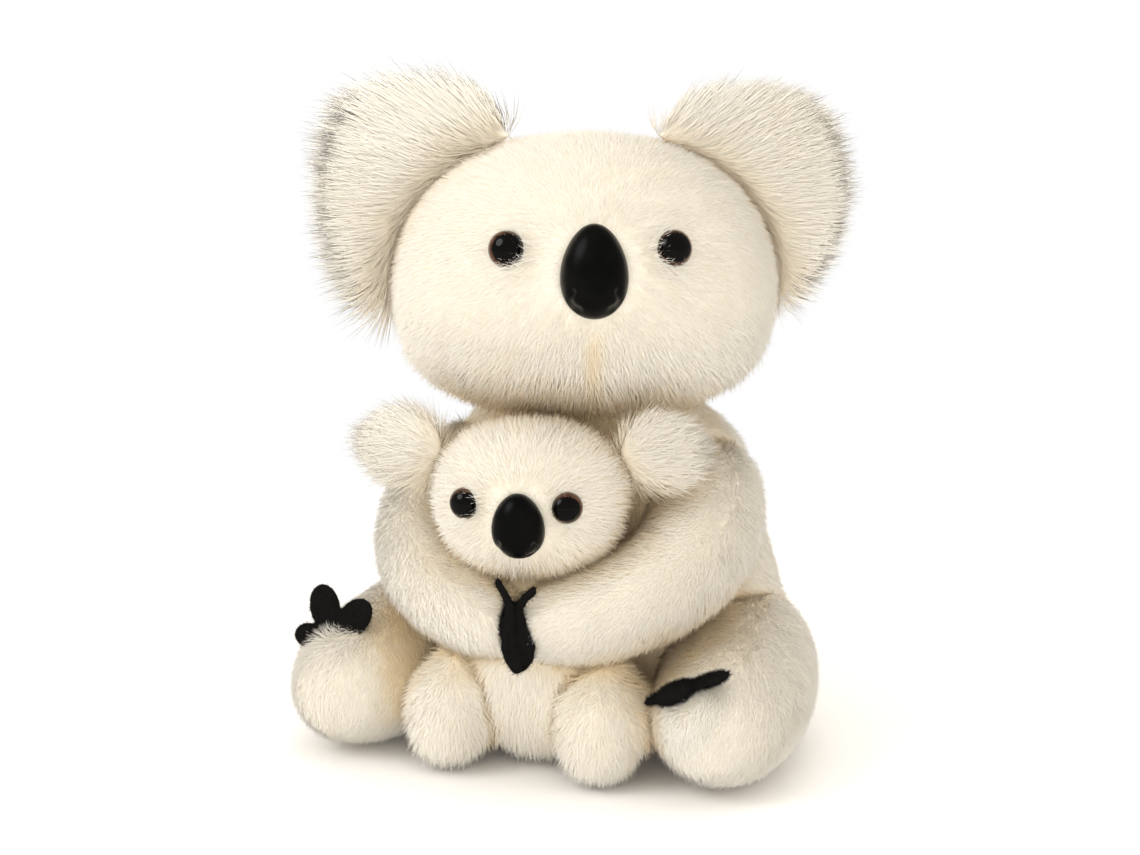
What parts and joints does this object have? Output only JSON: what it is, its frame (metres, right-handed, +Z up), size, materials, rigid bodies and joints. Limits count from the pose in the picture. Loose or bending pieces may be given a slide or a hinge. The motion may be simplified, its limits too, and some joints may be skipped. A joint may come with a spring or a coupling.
{
  "type": "plush koala hugging its baby",
  "caption": "Sitting plush koala that hugs its baby: stuffed bodies with long soft pile, round ears, moulded noses and eyes, and felt claws.",
  "frame": {"origin": "on the flat under the seat, midway between the legs", "axes": "+Z up, -Y towards the toy's front, +X towards the toy's own left side"},
  "size_m": [0.1926, 0.1691, 0.2409],
  "materials": {
    "plush_cream": "long soft cream pile",
    "fibre_fill": "loose white fibre",
    "black_felt": "matt black felt",
    "nose_plastic": "satin black",
    "eye_plastic": "gloss black with a brown rim",
    "washer_plastic": "plain moulded"
  },
  "bodies": {
    "torso": {"body_cover": "plush_cream", "body_filling": "fibre_fill", "baby_body_cover": "plush_cream", "baby_body_filling": "fibre_fill", "baby_leg_cover_left": "plush_cream", "baby_leg_cover_right": "plush_cream", "baby_leg_filling_left": "fibre_fill", "baby_leg_filling_right": "fibre_fill"},
    "head": {"adult_head_cover": "plush_cream", "adult_head_filling": "fibre_fill", "adult_eye_left": "eye_plastic", "adult_eye_right": "eye_plastic", "adult_eye_washer_left": "washer_plastic", "adult_eye_washer_right": "washer_plastic", "adult_nose": "nose_plastic", "adult_nose_washer": "washer_plastic"},
    "ear_left": {"adult_ear_left": "plush_cream"},
    "ear_right": {"adult_ear_right": "plush_cream"},
    "arm_left": {"arm_cover_left": "plush_cream", "arm_filling_left": "fibre_fill", "hand_claws_left": "black_felt"},
    "arm_right": {"arm_cover_right": "plush_cream", "arm_filling_right": "fibre_fill", "hand_claws_right": "black_felt"},
    "leg_left": {"leg_cover_left": "plush_cream", "leg_filling_left": "fibre_fill", "foot_claws_left": "black_felt"},
    "leg_right": {"leg_cover_right": "plush_cream", "leg_filling_right": "fibre_fill", "foot_claws_right": "black_felt"},
    "baby_head": {"baby_head_cover": "plush_cream", "baby_head_filling": "fibre_fill", "baby_eye_left": "eye_plastic", "baby_eye_right": "eye_plastic", "baby_eye_washer_left": "washer_plastic", "baby_eye_washer_right": "washer_plastic", "baby_nose": "nose_plastic", "baby_nose_washer": "washer_plastic"},
    "baby_ear_left": {"baby_ear_left": "plush_cream"},
    "baby_ear_right": {"baby_ear_right": "plush_cream"}
  },
  "joints": [
    {"name": "head_turn", "type": "hinge", "parent": "torso", "child": "head", "pos_m": [-0.0032, -0.012, 0.173], "axis": [0, 0, 1], "range_deg": [-15, 15], "stiffness_Nm_per_rad": 0.06},
    {"name": "adult_ear_fold_left", "type": "hinge", "parent": "head", "child": "ear_left", "pos_m": [0.04787, 0.01109, 0.1865], "axis": [-0.3473, -0.1403, 0.9272], "range_deg": [-15, 15], "stiffness_Nm_per_rad": 0.02},
    {"name": "adult_ear_fold_right", "type": "hinge", "parent": "head", "child": "ear_right", "pos_m": [-0.05598, -0.03086, 0.1865], "axis": [0.3473, 0.1403, 0.9272], "range_deg": [-15, 15], "stiffness_Nm_per_rad": 0.02},
    {"name": "arm_fold_left", "type": "hinge", "parent": "torso", "child": "arm_left", "pos_m": [0.05112, 0.0182, 0.1035], "axis": [-0.4226, 0, 0.9063], "range_deg": [0, 25], "stiffness_Nm_per_rad": 0.05},
    {"name": "arm_fold_right", "type": "hinge", "parent": "torso", "child": "arm_right", "pos_m": [-0.05112, 0.0182, 0.1035], "axis": [-0.4226, 0, -0.9063], "range_deg": [0, 25], "stiffness_Nm_per_rad": 0.05},
    {"name": "leg_fold_left", "type": "hinge", "parent": "torso", "child": "leg_left", "pos_m": [0.06958, 0.03, 0.033], "axis": [0, 0, 1], "range_deg": [0, 15], "stiffness_Nm_per_rad": 0.05},
    {"name": "leg_fold_right", "type": "hinge", "parent": "torso", "child": "leg_right", "pos_m": [-0.06958, 0.03, 0.033], "axis": [0, 0, -1], "range_deg": [0, 15], "stiffness_Nm_per_rad": 0.05},
    {"name": "baby_head_turn", "type": "hinge", "parent": "torso", "child": "baby_head", "pos_m": [-0.003, -0.064, 0.1], "axis": [0, 0, 1], "range_deg": [-8, 8], "stiffness_Nm_per_rad": 0.02},
    {"name": "baby_ear_fold_left", "type": "hinge", "parent": "baby_head", "child": "baby_ear_left", "pos_m": [0.03057, -0.06392, 0.11475], "axis": [-0.2532, -0.0538, 0.9659], "range_deg": [-12, 12], "stiffness_Nm_per_rad": 0.005},
    {"name": "baby_ear_fold_right", "type": "hinge", "parent": "baby_head", "child": "baby_ear_right", "pos_m": [-0.0337, -0.07758, 0.11475], "axis": [0.2532, 0.0538, 0.9659], "range_deg": [-12, 12], "stiffness_Nm_per_rad": 0.005}
  ]
}
